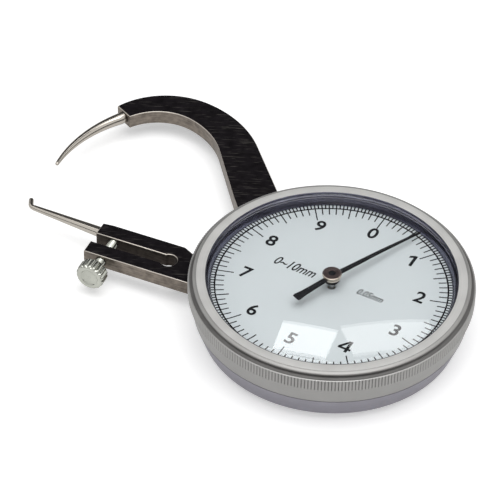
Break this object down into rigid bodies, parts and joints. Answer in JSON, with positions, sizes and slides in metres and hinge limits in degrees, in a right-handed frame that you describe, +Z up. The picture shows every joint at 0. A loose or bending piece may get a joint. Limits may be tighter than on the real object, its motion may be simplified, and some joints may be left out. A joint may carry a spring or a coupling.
{
  "type": "dial caliper gauge",
  "caption": "Hand-held dial gauge for outside sizes: a round case with a turning dial ring, a curved fixed arm with a bent needle, and a slotted swinging arm with a stylus and thumb screw",
  "frame": {"origin": "Centre of the back cover's flat underside, on the dial's axis", "axes": "+Z up through the dial. +X to the right and +Y away from the viewer of the picture, so the arms leave the case towards -X."},
  "size_m": [0.0838, 0.0834, 0.0145],
  "materials": {
    "case_grey": "grey anodised, satin",
    "satin_aluminium": "satin, fine knurled band",
    "dark_steel": "blackened faces, brushed sides",
    "bright_steel": "polished",
    "nickel": "nickel plated",
    "steel": "turned",
    "spring_steel": "tempered",
    "brass": "machined",
    "dark_bronze": "darkened",
    "black_lacquer": "satin black",
    "dial_white": "matt white with black print",
    "crystal": "clear, domed"
  },
  "bodies": {
    "case": {"case_body": "case_grey", "back_cover": "case_grey", "back_cover_screw_1": "steel", "back_cover_screw_2": "steel", "back_cover_screw_3": "steel", "fixed_arm": "dark_steel", "fixed_arm_screw_1": "steel", "fixed_arm_screw_2": "steel", "fixed_needle": "bright_steel", "jaw_pivot_post": "steel", "jaw_pivot_screw": "steel", "jaw_stop_pin": "steel", "jaw_return_spring": "spring_steel", "hairspring": "spring_steel", "hairspring_stud": "brass", "centre_bush_lower": "brass", "centre_bush_upper": "brass", "intermediate_bush_lower": "brass", "intermediate_bush_upper": "brass", "movement_plate": "brass", "pillar_1": "brass", "pillar_2": "brass", "pillar_3": "brass", "pillar_screw_1": "steel", "pillar_screw_2": "steel", "pillar_screw_3": "steel", "bezel_retaining_spring": "spring_steel"},
    "jaw": {"moving_arm": "dark_steel", "stylus": "bright_steel", "sector_gear": "brass", "sector_screw_1": "steel", "sector_screw_2": "steel", "spring_hook_pin": "steel"},
    "intermediate": {"intermediate_arbor": "steel", "intermediate_wheel": "brass"},
    "pointer_set": {"centre_arbor": "steel", "hairspring_collet": "brass", "pointer": "black_lacquer", "pointer_collar": "black_lacquer", "pointer_cap": "dark_bronze"},
    "bezel_set": {"bezel": "satin_aluminium", "dial": "dial_white", "dial_support_ring": "brass", "crystal_seat_ring": "satin_aluminium", "crystal": "crystal"},
    "thumb_screw": {"adjusting_screw": "nickel"}
  },
  "joints": [
    {"name": "jaw_swing", "type": "hinge", "parent": "case", "child": "jaw", "pos_m": [0.00467, 0.01119, 0.00455], "axis": [0, 0, -1], "range_deg": [0, 9.54], "stiffness_Nm_per_rad": 0.1, "springref_deg": -11.46},
    {"name": "intermediate_turn", "type": "hinge", "parent": "case", "child": "intermediate", "pos_m": [0.00992, -0.00125, 0.00455], "axis": [0, 0, -1], "range_deg": [0, 95.4]},
    {"name": "pointer_turn", "type": "hinge", "parent": "case", "child": "pointer_set", "pos_m": [0, 0, 0.01], "axis": [0, 0, 1], "range_deg": [0, 381.6]},
    {"name": "bezel_turn", "type": "hinge", "parent": "case", "child": "bezel_set", "pos_m": [0, 0, 0.01], "axis": [0, 0, 1], "continuous": true},
    {"name": "adjusting_screw_turn", "type": "hinge", "parent": "jaw", "child": "thumb_screw", "pos_m": [-0.04446, 0.00541, 0.00455], "axis": [0.3502, 0.9367, 0], "range_deg": [-180, 180]}
  ],
  "couplings": [
    {"joint": "intermediate_turn", "follows": "jaw_swing", "ratio": 10},
    {"joint": "pointer_turn", "follows": "jaw_swing", "ratio": 40}
  ]
}
